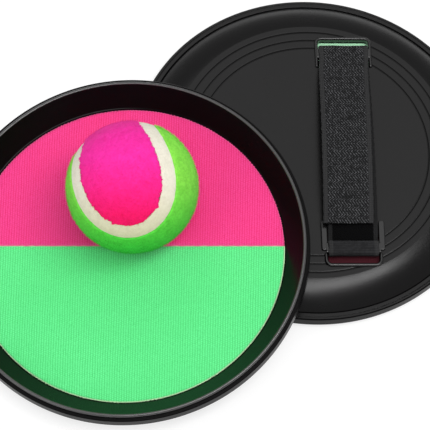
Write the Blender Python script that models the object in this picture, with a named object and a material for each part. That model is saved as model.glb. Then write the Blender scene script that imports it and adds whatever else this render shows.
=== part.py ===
# A catch set of two round paddles and one felt ball.
# The back paddle lies face down on the floor. The front paddle lies face up, leaning on the back
# paddle's raised back, and the ball clings to its pad.
# Sizes are in metres. The floor is z = 0, and the set is centred on x = y = 0.

import math

import bmesh
import bpy
import numpy as np
from mathutils import Euler, Matrix, Vector

# Running clearance between pieces that touch
FIT = 0.0003

# Paddle shell. Its own frame lies face up, with the flat back on z = 0.
RIM_RADIUS = 0.0900
PADDLE_HEIGHT = 0.0156
LIP_SETBACK = 0.0017
LIP_WIDTH = 0.0017
LIP_HEIGHT = 0.0020
LIP_EDGE_BEVEL = 0.0003
BAND_HEIGHT = 0.0061
BAND_LEDGE = 0.0035
BAND_EDGE_BEVEL = 0.0005
LEDGE_GROOVE_DEPTH = 0.0004
STEP_GROOVE_WIDTH = 0.0006
STEP_GROOVE_DEPTH = 0.0006
SHOULDER_RUN = 0.0151
SHOULDER_BULGE = math.radians(14.5)
WALL_RUN = 0.0091
FLOOR_THICKNESS = 0.0030
BACK_GROOVE_INSETS = (0.0032, 0.0078, 0.0123)
BACK_GROOVE_WIDTH = 0.0016
BACK_GROOVE_DEPTH = 0.0004
SHELL_SEGMENTS = 64
SHOULDER_POINTS = 5
CORNER_POINTS = 6
SHARP_ANGLE = math.radians(32)

# Pads, two halves of a round of hook fabric
PAD_THICKNESS = 0.0020
PAD_SPLIT = 0.0043
PAD_SEGMENTS = 40

# Strap fittings: a window at each end of the strap, a bar across it and a low rim round its end, with
# a cheek on each side of the near bar
STRAP_OFFSET = 0.0177
STRAP_WIDTH = 0.0250
STRAP_THICKNESS = 0.0012
WINDOW_INSET = 0.0079
WINDOW_CORNER = 0.0020
OUTER_SLOT = 0.0053
BAR_WIDTH = 0.0057
NEAR_INNER_SLOT = 0.0089
FAR_INNER_SLOT = 0.0052
BAR_LOW = 0.0002
BAR_THICKNESS = 0.0015
CHEEK_WIDTH = 0.0031
CHEEK_HEIGHT = 0.0020
CHEEK_LEAD = 0.0030
CHEEK_SETBACK = 0.0016
CHEEK_CORNER = 0.0028
RIM_NOTCH = 0.0010
WINDOW_RIM_WIDTH = 0.0018
WINDOW_RIM_HEIGHT = 0.0011
RIM_TIP_RADIUS = 0.0012
FITTING_SINK = 0.0015
BAR_EMBED = 0.0006

# Strap route. A gap is the hand room under the middle of the strap.
OPEN_GAP = 0.0063
PRESSED_GAP = 0.0020
ARCH_PLACE_SHARES = (-0.84, -0.50, 0.0, 0.45, 0.80, 0.90)
ARCH_RISE_SHARES = (0.20, 0.72, 1.0, 0.76, 0.24, 0.10)
STRAP_DRIFT = 0.0024
HOOK_WIDTH = 0.0210
HOOK_LENGTH = 0.0380
HOOK_THICKNESS = 0.0008
HOOK_SETBACK = 0.0015
HOOK_STEPS = 12
ROUTE_STEPS = 4
WRAP_POINTS = 11

# Ball: two moulded core halves under two felt panels and a band along their seam
BALL_RADIUS = 0.0320
FELT_THICKNESS = 0.0030
CORE_CLEARANCE = 0.0007
CORE_WALL = 0.0035
BAND_HALF_WIDTH = 0.0042
SEAM_SHARE = 0.25
CORE_SEGMENTS = 24
CORE_RINGS = 6
PANEL_STEPS = 24
PANEL_ROWS = 10
BAND_STEPS = 72

# How the set lies
LEAN_HEADING = math.radians(31.4)
LEAN_REACH = 0.0390
FRONT_YAW = math.radians(-2.9)
STEEPEST_LEAN = math.radians(40)
LEAN_TRIES = 40
BALL_SPOT = (0.0040, 0.0218)
BALL_TURN = tuple(math.radians(a) for a in (-77.2, -61.8, 3.7))

lip_radius = RIM_RADIUS - LIP_SETBACK
wall_top_radius = lip_radius - LIP_WIDTH
floor_radius = wall_top_radius - WALL_RUN
pad_radius = floor_radius - FIT
pad_low = FLOOR_THICKNESS + FIT
pad_top = pad_low + PAD_THICKNESS
step_radius = RIM_RADIUS - BAND_LEDGE
shoulder_radius = step_radius - STEP_GROOVE_WIDTH
back_radius = shoulder_radius - SHOULDER_RUN
band_top = PADDLE_HEIGHT - LIP_HEIGHT
band_low = band_top - BAND_HEIGHT

window_end = back_radius - WINDOW_INSET
bar_outer = window_end - OUTER_SLOT
bar_inner = bar_outer - BAR_WIDTH
near_window_start = bar_inner - NEAR_INNER_SLOT
far_window_start = bar_inner - FAR_INNER_SLOT
window_half = STRAP_WIDTH / 2 + FIT
bar_top = BAR_LOW + BAR_THICKNESS
cheek_end = bar_outer - CHEEK_SETBACK
layer_pitch = STRAP_THICKNESS + HOOK_THICKNESS + 2 * FIT

SHELL_BLACK = ("shell black", (0.018, 0.018, 0.019), 0.32)
STRAP_BLACK = ("strap black", (0.024, 0.024, 0.026), 0.85)
HOOK_BLACK = ("hook tape black", (0.012, 0.012, 0.013), 0.70)
PINK = ("pink fabric", (0.93, 0.035, 0.24), 0.90)
GREEN = ("green fabric", (0.10, 0.82, 0.25), 0.90)
BALL_GREEN = ("yellow green felt", (0.22, 0.75, 0.06), 0.95)
WHITE = ("off-white felt", (0.80, 0.80, 0.66), 0.95)
RUBBER = ("core rubber", (0.03, 0.03, 0.03), 0.80)


def clear_scene():
    for obj in list(bpy.data.objects):
        bpy.data.objects.remove(obj, do_unlink=True)


def material(spec):
    name, colour, roughness = spec
    found = bpy.data.materials.get(name)
    if found:
        return found
    made = bpy.data.materials.new(name)
    made.use_nodes = True
    shader = made.node_tree.nodes["Principled BSDF"]
    shader.inputs["Base Color"].default_value = (*colour, 1.0)
    shader.inputs["Roughness"].default_value = roughness
    return made


def empty(name, parent=None, matrix=None):
    made = bpy.data.objects.new(name, None)
    bpy.context.collection.objects.link(made)
    made.parent = parent
    if matrix is not None:
        made.matrix_local = matrix
    return made


def solid(name, points, faces, spec, parent):
    # A mesh object with its faces turned outwards.
    mesh = bpy.data.meshes.new(name)
    mesh.from_pydata([tuple(map(float, p)) for p in points], [], [tuple(map(int, f)) for f in faces])
    shape = bmesh.new()
    shape.from_mesh(mesh)
    bmesh.ops.remove_doubles(shape, verts=shape.verts, dist=1e-7)
    bmesh.ops.dissolve_degenerate(shape, edges=shape.edges, dist=1e-8)
    bmesh.ops.recalc_face_normals(shape, faces=shape.faces)
    if shape.calc_volume(signed=True) < 0:
        bmesh.ops.reverse_faces(shape, faces=shape.faces)
    shape.to_mesh(mesh)
    shape.free()
    mesh.materials.append(material(spec))
    mesh.shade_smooth()
    mesh.set_sharp_from_angle(angle=SHARP_ANGLE)
    made = bpy.data.objects.new(name, mesh)
    bpy.context.collection.objects.link(made)
    made.parent = parent
    return made


def helper(obj):
    obj.hide_render = True
    obj.display_type = "WIRE"
    return obj


def arc(centre, radius, start, end, count):
    turns = np.linspace(start, end, count)
    return [(centre[0] + radius * math.cos(a), centre[1] + radius * math.sin(a)) for a in turns]


def prism(outline, low, high):
    # The outline drawn in x and y, extruded from low to high.
    count = len(outline)
    points = [(x, y, low) for x, y in outline] + [(x, y, high) for x, y in outline]
    faces = [tuple(range(count)), tuple(range(count, 2 * count))]
    faces += [(i, (i + 1) % count, count + (i + 1) % count, count + i) for i in range(count)]
    return points, faces


def joined(pieces):
    points = []
    faces = []
    for piece_points, piece_faces in pieces:
        start = len(points)
        points += list(piece_points)
        faces += [tuple(start + i for i in face) for face in piece_faces]
    return points, faces


def spun(profile, segments):
    # A closed profile of (radius, height), which starts and ends on the axis, turned about z.
    count = len(profile)
    turns = [2 * math.pi * i / segments for i in range(segments)]
    points = [(r * math.cos(a), r * math.sin(a), z) for a in turns for r, z in profile]
    faces = []
    for i in range(segments):
        here = i * count
        there = (i + 1) % segments * count
        for k in range(count - 1):
            faces.append((here + k, here + k + 1, there + k + 1, there + k))
    return points, faces


def shoulder():
    # The rounded shoulder, an arc that bulges from the step down to the flat back.
    start = np.array((shoulder_radius, band_low))
    end = np.array((back_radius, 0.0))
    chord = end - start
    length = np.linalg.norm(chord)
    radius = length / (2 * math.sin(SHOULDER_BULGE))
    outward = np.array((-chord[1], chord[0])) / length
    middle = (start + end) / 2
    centre = middle - outward * radius * math.cos(SHOULDER_BULGE)
    lean = math.atan2(outward[1], outward[0])
    turns = np.linspace(SHOULDER_BULGE, -SHOULDER_BULGE, SHOULDER_POINTS)
    found = [centre + radius * np.array((math.cos(lean + a), math.sin(lean + a))) for a in turns]
    if np.linalg.norm(found[0] - start) > np.linalg.norm(found[-1] - start):
        found.reverse()
    return [tuple(p) for p in found]


def shell_profile():
    ledge_middle = RIM_RADIUS - BAND_LEDGE / 2
    points = [
        (0.0, FLOOR_THICKNESS),
        (floor_radius, FLOOR_THICKNESS),
        (floor_radius, pad_top),
        (wall_top_radius, PADDLE_HEIGHT - LIP_EDGE_BEVEL),
        (wall_top_radius + LIP_EDGE_BEVEL, PADDLE_HEIGHT),
        (lip_radius - LIP_EDGE_BEVEL, PADDLE_HEIGHT),
        (lip_radius, PADDLE_HEIGHT - LIP_EDGE_BEVEL),
        (lip_radius, band_top),
        (RIM_RADIUS - BAND_EDGE_BEVEL, band_top),
        (RIM_RADIUS, band_top - BAND_EDGE_BEVEL),
        (RIM_RADIUS, band_low + BAND_EDGE_BEVEL),
        (RIM_RADIUS - BAND_EDGE_BEVEL, band_low),
        (ledge_middle + LEDGE_GROOVE_DEPTH, band_low),
        (ledge_middle, band_low + LEDGE_GROOVE_DEPTH),
        (ledge_middle - LEDGE_GROOVE_DEPTH, band_low),
        (step_radius, band_low),
        (step_radius - STEP_GROOVE_WIDTH / 2, band_low + STEP_GROOVE_DEPTH),
    ]
    points += shoulder()
    for inset in BACK_GROOVE_INSETS:
        middle = back_radius - inset
        points.append((middle + BACK_GROOVE_WIDTH / 2, 0.0))
        points.append((middle, BACK_GROOVE_DEPTH))
        points.append((middle - BACK_GROOVE_WIDTH / 2, 0.0))
    points.append((0.0, 0.0))
    return points


def mirrored(block):
    points, faces = block
    return [(x, -y, z) for x, y, z in points], faces


def cheek_block(side):
    # A cheek beside the bar, with its outer corner rounded.
    outer = window_half + CHEEK_WIDTH
    corner = (outer - CHEEK_CORNER, cheek_end - CHEEK_CORNER)
    start = near_window_start - CHEEK_LEAD
    outline = [(window_half, start), (outer, start)]
    outline += arc(corner, CHEEK_CORNER, 0, math.pi / 2, CORNER_POINTS)
    outline.append((window_half, cheek_end))
    outline = [(side * x - STRAP_OFFSET, y) for x, y in outline]
    return prism(outline, -CHEEK_HEIGHT, FITTING_SINK)


def rim_block(start):
    # The low rim from the given place round the window's end, before the window is cut through it.
    half_width = window_half + WINDOW_RIM_WIDTH
    end = window_end + WINDOW_RIM_WIDTH
    corner_radius = WINDOW_CORNER + WINDOW_RIM_WIDTH
    tip = (half_width - RIM_TIP_RADIUS, start + RIM_TIP_RADIUS)
    corner = (half_width - corner_radius, end - corner_radius)
    half = arc(tip, RIM_TIP_RADIUS, -math.pi / 2, 0, CORNER_POINTS)
    half += arc(corner, corner_radius, 0, math.pi / 2, CORNER_POINTS)
    outline = half + [(-x, y) for x, y in reversed(half)]
    return prism([(x - STRAP_OFFSET, y) for x, y in outline], -WINDOW_RIM_HEIGHT, FITTING_SINK)


def fitting_blocks():
    near = joined([cheek_block(-1), cheek_block(1), rim_block(cheek_end + RIM_NOTCH)])
    return joined([mirrored(near), rim_block(far_window_start + FIT)])


def window_block(start):
    corner = (window_half - WINDOW_CORNER, window_end - WINDOW_CORNER)
    half = [(window_half, start)] + arc(corner, WINDOW_CORNER, 0, math.pi / 2, CORNER_POINTS)
    outline = half + [(-x, y) for x, y in reversed(half)]
    outline = [(x - STRAP_OFFSET, y) for x, y in outline]
    return prism(outline, -CHEEK_HEIGHT - FITTING_SINK, FLOOR_THICKNESS + FITTING_SINK)


def bar_block():
    # The bar across the window, with full round edges, drawn in y and z and extruded along x.
    radius = BAR_THICKNESS / 2
    height = -(BAR_LOW + radius)
    outline = arc((bar_outer - radius, height), radius, -math.pi / 2, math.pi / 2, CORNER_POINTS)
    outline += arc((bar_inner + radius, height), radius, math.pi / 2, 3 * math.pi / 2, CORNER_POINTS)
    half = window_half + BAR_EMBED
    points, faces = prism(outline, -half, half)
    return [(x - STRAP_OFFSET, y, z) for y, z, x in points], faces


def boolean(target, operation, cutter):
    modifier = target.modifiers.new(cutter.name, "BOOLEAN")
    modifier.operation = operation
    modifier.object = cutter
    modifier.solver = "EXACT"


def make_shell(prefix, parent):
    shell = solid(prefix + "_shell", *spun(shell_profile(), SHELL_SEGMENTS), SHELL_BLACK, parent)
    bar = bar_block()
    blocks = helper(solid(prefix + "_fittings", *fitting_blocks(), SHELL_BLACK, parent))
    windows = joined([window_block(far_window_start), mirrored(window_block(near_window_start))])
    windows = helper(solid(prefix + "_windows", *windows, SHELL_BLACK, parent))
    bars = helper(solid(prefix + "_bars", *joined([bar, mirrored(bar)]), SHELL_BLACK, parent))
    boolean(shell, "UNION", blocks)
    boolean(shell, "DIFFERENCE", windows)
    boolean(shell, "UNION", bars)
    return shell


def make_pad(name, upper, split, spec, parent):
    # One half of the round, above or below the straight split.
    edge = split + FIT / 2 if upper else split - FIT / 2
    reach = math.asin(edge / pad_radius)
    turns = (reach, math.pi - reach) if upper else (math.pi - reach, 2 * math.pi + reach)
    outline = arc((0, 0), pad_radius, *turns, PAD_SEGMENTS + 1)
    return solid(name, *prism(outline, pad_low, pad_top), spec, parent)


def smooth_route(points):
    # A Catmull-Rom curve through the points, read at a few places in each span.
    held = np.array([points[0], *points, points[-1]], dtype=float)
    found = []
    for i in range(1, len(held) - 2):
        before, start, end, after = held[i - 1 : i + 3]
        for k in range(ROUTE_STEPS):
            t = k / ROUTE_STEPS
            found.append(
                start
                + 0.5 * t * (end - before)
                + t * t * (before - 2.5 * start + 2 * end - 0.5 * after)
                + t**3 * (1.5 * (start - end) + 0.5 * (after - before))
            )
    found.append(held[-1])
    return np.array(found)


def wrap():
    # Half a turn of the strap's middle line round the bar's outer edge, from under it to over it.
    over = bar_top + FIT + STRAP_THICKNESS / 2
    under = BAR_LOW - FIT - STRAP_THICKNESS / 2
    centre = (bar_outer - BAR_THICKNESS / 2, (over + under) / 2)
    turns = arc(centre, (over - under) / 2, -math.pi / 2, math.pi / 2, WRAP_POINTS)
    return np.array([(bar_inner, under), *turns, (bar_inner, over)])


def strap_layers(gap):
    # The strap's layers as (y, height off the back): the lower one from under the near bar to under
    # the far bar, and the upper one from over the far bar, back above the lower, to the free end.
    places = bar_inner * np.array(ARCH_PLACE_SHARES)
    rises = STRAP_THICKNESS / 2 + gap * np.array(ARCH_RISE_SHARES)
    arch = np.stack((places, rises), axis=1)
    far = wrap()
    near = wrap() * (-1, 1)
    lower = smooth_route(np.concatenate((near[1::-1], arch, far[:2])))
    raised = np.concatenate((arch[::-1], near[:1])) + (0, layer_pitch)
    upper = smooth_route(np.concatenate((far[-2:], raised)))
    end = (-near_window_start, np.interp(near_window_start, -upper[:, 0], upper[:, 1]))
    return lower, np.concatenate((upper[upper[:, 0] > end[0]], [end]))


def ribbon(route, drift, width, thickness):
    # A band of the given thickness along a route in y and height, as wide as it is in x. The drift
    # moves it sideways along the route.
    along = np.gradient(route, axis=0)
    along /= np.linalg.norm(along, axis=1)[:, None]
    across = np.stack((-along[:, 1], along[:, 0]), axis=1) * thickness / 2
    outline = np.concatenate((route + across, (route - across)[::-1]))
    shift = np.concatenate((drift, drift[::-1])) - STRAP_OFFSET
    count = len(outline)
    points = []
    for x in (-width / 2, width / 2):
        points += [(x + move, y, -height) for move, (y, height) in zip(shift, outline)]
    half = count // 2
    faces = [(i, i + 1, count + i + 1, count + i) for i in range(count - 1)]
    faces.append((count - 1, 0, count, 2 * count - 1))
    for start in (0, count):
        for i in range(half - 1):
            faces.append((start + i, start + i + 1, start + count - 2 - i, start + count - 1 - i))
    return points, faces


def make_strap(prefix, gap, parent):
    # The tail lies on the near bar. The strap turns down round the bar's outer edge, goes under the
    # bar and over the hand room to the far bar, round it and back over itself.
    lower, upper = strap_layers(gap)
    near = wrap()[:0:-1] * (-1, 1)
    far = wrap()[1:]
    route = np.concatenate((near, lower[ROUTE_STEPS:-ROUTE_STEPS], far, upper[ROUTE_STEPS + 1 :]))
    share = np.zeros(len(route))
    returning = len(upper) - ROUTE_STEPS
    share[-returning:] = np.linspace(0, 1, returning)
    strap = ribbon(route, STRAP_DRIFT * share, STRAP_WIDTH, STRAP_THICKNESS)
    solid(prefix + "_strap", *strap, STRAP_BLACK, parent)
    start = -near_window_start + HOOK_SETBACK
    places = np.linspace(start, start + HOOK_LENGTH, HOOK_STEPS)
    heights = np.interp(places, lower[:, 0], lower[:, 1]) + layer_pitch / 2
    line = np.stack((places, heights), axis=1)
    hook = ribbon(line, np.zeros(HOOK_STEPS), HOOK_WIDTH, HOOK_THICKNESS)
    solid(prefix + "_strap_hook", *hook, HOOK_BLACK, parent)


def make_paddle(prefix, upper_is_pink, gap, parent):
    split = PAD_SPLIT if upper_is_pink else -PAD_SPLIT
    make_shell(prefix, parent)
    make_pad(prefix + "_pink_pad", upper_is_pink, split, PINK, parent)
    make_pad(prefix + "_green_pad", not upper_is_pink, split, GREEN, parent)
    make_strap(prefix, gap, parent)


def seam(turn):
    # A closed curve on the unit sphere that parts it into two like panels, with its sideways
    # direction, which points into the panel round the +z pole.
    long, short = 1 - SEAM_SHARE, SEAM_SHARE
    height = 2 * math.sqrt(long * short)
    x = long * np.cos(turn) + short * np.cos(3 * turn)
    y = long * np.sin(turn) - short * np.sin(3 * turn)
    place = np.stack((x, y, height * np.sin(2 * turn)), axis=-1)
    dx = -long * np.sin(turn) - 3 * short * np.sin(3 * turn)
    dy = long * np.cos(turn) - 3 * short * np.cos(3 * turn)
    along = np.stack((dx, dy, 2 * height * np.cos(2 * turn)), axis=-1)
    along /= np.linalg.norm(along, axis=-1, keepdims=True)
    return place, np.cross(place, along)


def beside_seam(turn, angle):
    place, sideways = seam(turn)
    return place * math.cos(angle) + sideways * math.sin(angle)


def thick_patch(grid, closed):
    # A patch of unit directions given thickness between the core and the ball's outside.
    rows, columns = grid.shape[:2]
    inner = BALL_RADIUS - FELT_THICKNESS
    points = np.concatenate((grid.reshape(-1, 3) * BALL_RADIUS, grid.reshape(-1, 3) * inner))
    under = rows * columns
    faces = []
    spans = rows if closed else rows - 1
    for i in range(spans):
        here = i * columns
        there = (i + 1) % rows * columns
        for k in range(columns - 1):
            faces.append((here + k, here + k + 1, there + k + 1, there + k))
            faces.append((under + here + k, under + there + k, under + there + k + 1, under + here + k + 1))
        faces.append((here, there, under + there, under + here))
        last = columns - 1
        faces.append((here + last, under + here + last, under + there + last, there + last))
    return points, faces


def panel_patch(north):
    # Arcs across the panel. The seam maps onto itself when x and y are swapped and turned negative,
    # so the half of it from -1/8 turn to 3/8 turn faces its mirror, and each arc joins such a pair.
    angle = (BAND_HALF_WIDTH + FIT / 2) / BALL_RADIUS
    turns = np.linspace(-math.pi / 4, 3 * math.pi / 4, PANEL_STEPS + 1)
    edge = beside_seam(turns, angle)
    other = np.stack((-edge[:, 1], -edge[:, 0], edge[:, 2]), axis=1)
    spread = np.arccos(np.clip((edge * other).sum(axis=1), -1, 1))[:, None, None]
    share = np.linspace(0, 1, PANEL_ROWS + 1)[None, :, None]
    spread = np.maximum(spread, 1e-6)
    grid = np.sin((1 - share) * spread) * edge[:, None] + np.sin(share * spread) * other[:, None]
    grid /= np.sin(spread)
    grid /= np.linalg.norm(grid, axis=-1, keepdims=True)
    if not north:
        grid = grid * (1, -1, -1)
    return thick_patch(grid, False)


def band_patch():
    angle = (BAND_HALF_WIDTH - FIT / 2) / BALL_RADIUS
    turns = np.linspace(0, 2 * math.pi, BAND_STEPS, endpoint=False)
    grid = np.stack([beside_seam(turns, a) for a in (angle, 0.0, -angle)], axis=1)
    return thick_patch(grid, True)


def core_half(upper):
    # Half a hollow ball, whose flat rim meets the other half's.
    outer = BALL_RADIUS - FELT_THICKNESS - CORE_CLEARANCE
    inner = outer - CORE_WALL
    rise = FIT / 2
    outer_turns = np.linspace(math.asin(rise / outer), math.pi / 2, CORE_RINGS + 1)
    inner_turns = np.linspace(math.pi / 2, math.asin(rise / inner), CORE_RINGS + 1)
    profile = [(outer * math.cos(a), outer * math.sin(a)) for a in outer_turns]
    profile += [(inner * math.cos(a), inner * math.sin(a)) for a in inner_turns]
    profile.append(profile[0])
    points, faces = spun(profile, CORE_SEGMENTS)
    return (points if upper else [(x, y, -z) for x, y, z in points]), faces


def make_ball(parent):
    solid("ball_core_upper", *core_half(True), RUBBER, parent)
    solid("ball_core_lower", *core_half(False), RUBBER, parent)
    solid("ball_pink_felt", *panel_patch(True), PINK, parent)
    solid("ball_green_felt", *panel_patch(False), BALL_GREEN, parent)
    solid("ball_white_band", *band_patch(), WHITE, parent)


def points_below(parent):
    # Every point of a group's finished pieces, in the group's own frame.
    bpy.context.view_layer.update()
    graph = bpy.context.evaluated_depsgraph_get()
    found = []
    for obj in parent.children_recursive:
        if obj.type != "MESH" or obj.hide_render:
            continue
        mesh = obj.evaluated_get(graph).to_mesh()
        local = parent.matrix_world.inverted() @ obj.matrix_world
        found += [local @ v.co for v in mesh.vertices]
    return np.array(found)


def lean_matrix(tilt):
    # The front paddle with its back on the edge of the other's back, and tipped down away from it.
    heading = Vector((math.cos(LEAN_HEADING), math.sin(LEAN_HEADING), 0))
    slope = heading * math.cos(tilt) + Vector((0, 0, math.sin(tilt)))
    normal = Vector((0, 0, math.cos(tilt))) - heading * math.sin(tilt)
    edge = Vector((0, 0, PADDLE_HEIGHT)) - heading * back_radius
    place = edge + normal * FIT - slope * LEAN_REACH
    axis = Vector((heading.y, -heading.x, 0))
    turn = Matrix.Rotation(tilt, 4, axis) @ Matrix.Rotation(FRONT_YAW, 4, "Z")
    return Matrix.Translation(place) @ turn


def settled_matrix(points):
    # The tilt at which the leaning paddle's lowest point meets the floor.
    flat = 0.0
    steep = STEEPEST_LEAN
    for _ in range(LEAN_TRIES):
        tilt = (flat + steep) / 2
        matrix = np.array(lean_matrix(tilt))
        lowest = (points @ matrix[:3, :3].T + matrix[:3, 3])[:, 2].min()
        if lowest > 0:
            flat = tilt
        else:
            steep = tilt
    return lean_matrix(flat)


def main():
    clear_scene()
    catch_set = empty("catch_set")
    face_down = Matrix.Translation((0, 0, PADDLE_HEIGHT)) @ Matrix.Rotation(math.pi, 4, "Y")
    back = empty("back_paddle", catch_set, face_down)
    make_paddle("back", False, OPEN_GAP, back)
    front = empty("front_paddle", catch_set)
    make_paddle("front", True, PRESSED_GAP, front)
    lean = settled_matrix(points_below(front))
    front.matrix_local = lean
    spot = lean @ Vector((*BALL_SPOT, pad_top + FIT + BALL_RADIUS))
    turn = Euler(BALL_TURN, "XYZ").to_matrix().to_4x4()
    make_ball(empty("ball", catch_set, Matrix.Translation(spot) @ turn))
    reach = points_below(catch_set)
    middle = (reach.min(axis=0) + reach.max(axis=0)) / 2
    catch_set.location = (-middle[0], -middle[1], 0)
    bpy.context.view_layer.update()


main()
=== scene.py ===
import math

import bmesh
import bpy
import numpy as np
from mathutils import Euler, Matrix, Vector


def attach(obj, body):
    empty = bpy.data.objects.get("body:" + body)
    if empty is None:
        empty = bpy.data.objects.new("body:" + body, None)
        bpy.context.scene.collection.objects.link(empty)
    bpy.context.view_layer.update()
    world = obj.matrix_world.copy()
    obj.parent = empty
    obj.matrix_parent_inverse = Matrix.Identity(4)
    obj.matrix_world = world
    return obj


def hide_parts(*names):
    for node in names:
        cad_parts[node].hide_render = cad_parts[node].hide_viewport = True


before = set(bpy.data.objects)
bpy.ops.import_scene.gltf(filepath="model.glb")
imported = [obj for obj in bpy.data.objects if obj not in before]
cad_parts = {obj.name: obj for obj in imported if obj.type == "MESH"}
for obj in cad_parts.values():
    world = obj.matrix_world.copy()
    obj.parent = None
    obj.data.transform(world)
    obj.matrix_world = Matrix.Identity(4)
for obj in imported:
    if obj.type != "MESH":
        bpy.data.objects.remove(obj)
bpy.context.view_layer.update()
print("stage: frame loaded")

mm = 0.001

lying = {  # how each group lies in the room: turned about x, y and z in degrees, shifted in metres
    "back": ((0, 180, 0), (0.0471335, 0.0288263, 0.0156)),
    "front": ((4.310445, -6.28756, -3.136864), (-0.0463265, -0.0282219, 0.010727)),
    "ball": ((-77.2, -61.8, 3.7), (-0.0456009, -0.009321, 0.0500618)),
}


# Mesh helpers


def onto(points, group):
    # Local points into the room: turn times point plus shift.
    degrees, shift = lying[group]
    turn = np.array(Euler([math.radians(a) for a in degrees], "XYZ").to_matrix())
    return points @ turn.T + shift


def gridFaces(rows, columns, wrapRows=False, wrapColumns=False):
    # Quads between the neighbours of a rows by columns grid of points.
    number = np.arange(rows * columns).reshape(rows, columns)
    if wrapRows:
        number = np.vstack((number, number[:1]))
    if wrapColumns:
        number = np.hstack((number, number[:, :1]))
    quads = (number[:-1, :-1], number[:-1, 1:], number[1:, 1:], number[1:, :-1])
    return np.stack(quads, axis=-1).reshape(-1, 4)


def makeMesh(name, points, faceSets, uv=None):
    # Whole arrays into a mesh. Each face set is an array of corner numbers, one face a row.
    mesh = bpy.data.meshes.new(name)
    corners = np.concatenate([f.ravel() for f in faceSets]).astype(np.int32)
    sizes = np.concatenate([np.full(len(f), f.shape[1]) for f in faceSets])
    starts = np.concatenate(([0], np.cumsum(sizes)[:-1])).astype(np.int32)
    mesh.vertices.add(len(points))
    mesh.vertices.foreach_set("co", np.asarray(points, np.float32).ravel())
    mesh.loops.add(len(corners))
    mesh.loops.foreach_set("vertex_index", corners)
    mesh.polygons.add(len(sizes))
    mesh.polygons.foreach_set("loop_start", starts)
    mesh.update(calc_edges=True)
    if uv is not None:
        layer = mesh.uv_layers.new(name="weave")
        layer.uv.foreach_set("vector", np.asarray(uv, np.float32)[corners].ravel())
    return mesh


def pointValues(mesh, name, values):
    layer = mesh.attributes.new(name, "FLOAT", "POINT")
    layer.data.foreach_set("value", np.asarray(values, np.float32).ravel())


def makeObject(name, mesh):
    made = bpy.data.objects.new(name, mesh)
    bpy.context.scene.collection.objects.link(made)
    return made


def tidyMesh(mesh, sharp=None, merge=1e-6):
    # Merges what meets at a pole or seam, turns all faces out and shades smoothly.
    shape = bmesh.new()
    shape.from_mesh(mesh)
    bmesh.ops.remove_doubles(shape, verts=shape.verts, dist=merge)
    bmesh.ops.dissolve_degenerate(shape, edges=shape.edges, dist=merge / 10)
    bmesh.ops.recalc_face_normals(shape, faces=shape.faces)
    if shape.calc_volume(signed=True) < 0:
        bmesh.ops.reverse_faces(shape, faces=shape.faces)
    shape.to_mesh(mesh)
    shape.free()
    mesh.shade_smooth()
    if sharp is not None:
        mesh.set_sharp_from_angle(angle=math.radians(sharp))
    return mesh


def applied(obj):
    # The object's mesh with its modifiers worked in.
    bpy.context.view_layer.update()
    evaluated = obj.evaluated_get(bpy.context.evaluated_depsgraph_get())
    mesh = bpy.data.meshes.new_from_object(evaluated)
    obj.modifiers.clear()
    obj.data = mesh
    return obj


def settle(obj, node):
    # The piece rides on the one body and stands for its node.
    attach(obj, "root")
    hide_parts(node)
    return obj


def softNoise(points, wavelength, seed, waves=20):
    # A sum of sine waves of about one wavelength in seeded directions, of mean square one.
    pick = np.random.default_rng(seed)
    size = points.shape[-1]
    total = np.zeros(points.shape[:-1])
    for _ in range(waves):
        way = pick.normal(size=size)
        way /= np.linalg.norm(way) * wavelength * pick.uniform(0.7, 1.4)
        total += np.sin(2 * math.pi * (points @ way + pick.uniform()))
    return total * math.sqrt(2 / waves)


def lumps(points, *layers):
    # Soft noises added up, each layer given as height, wavelength and seed.
    return sum(height * softNoise(points, wavelength, seed) for height, wavelength, seed in layers)


def ease(value):
    # A smooth step: 3t squared minus 2t cubed.
    value = np.clip(value, 0, 1)
    return value * value * (3 - 2 * value)


# Material helpers


def newMaterial(name):
    made = bpy.data.materials.new(name)
    made.use_nodes = True
    tree = made.node_tree
    return made, tree, tree.nodes["Principled BSDF"]


def node(tree, kind, **settings):
    made = tree.nodes.new(kind)
    for key, value in settings.items():
        setattr(made, key, value)
    return made


def setSockets(made, values):
    # What is the same all over the surface, on the node's own sockets.
    for name, value in values.items():
        made.inputs[name].default_value = value


def feed(tree, sockets, values):
    # Each socket takes a number, a colour or the output of another node.
    for socket, value in zip(sockets, values):
        if isinstance(value, tuple):
            socket.default_value = (*value, 1)
        elif isinstance(value, (int, float)):
            socket.default_value = value
        else:
            tree.links.new(value, socket)


def mathNode(tree, operation, *values, clamp=False):
    made = node(tree, "ShaderNodeMath", operation=operation, use_clamp=clamp)
    feed(tree, made.inputs, values)
    return made.outputs[0]


def times(tree, first, second):
    return mathNode(tree, "MULTIPLY", first, second)


def plus(tree, first, second):
    return mathNode(tree, "ADD", first, second)


def mixColour(tree, share, first, second):
    made = node(tree, "ShaderNodeMix", data_type="RGBA")
    feed(tree, (made.inputs[0], made.inputs[6], made.inputs[7]), (share, first, second))
    return made.outputs[2]


def mixNumber(tree, share, first, second):
    made = node(tree, "ShaderNodeMix", data_type="FLOAT")
    feed(tree, (made.inputs[0], made.inputs[2], made.inputs[3]), (share, first, second))
    return made.outputs[0]


def noiseOf(tree, place, scale, detail=2.0, rough=0.5):
    made = node(tree, "ShaderNodeTexNoise")
    setSockets(made, {"Scale": scale, "Detail": detail, "Roughness": rough})
    tree.links.new(place, made.inputs["Vector"])
    return made.outputs["Fac"]


def ranged(tree, value, low, high, toLow, toHigh):
    made = node(tree, "ShaderNodeMapRange", clamp=True)
    feed(tree, made.inputs, (value, low, high, toLow, toHigh))
    return made.outputs[0]


def below(tree, value, limit, blur):
    # 1 under the limit and 0 over it, with a soft edge.
    return ranged(tree, value, limit - blur, limit + blur, 1, 0)


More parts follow.
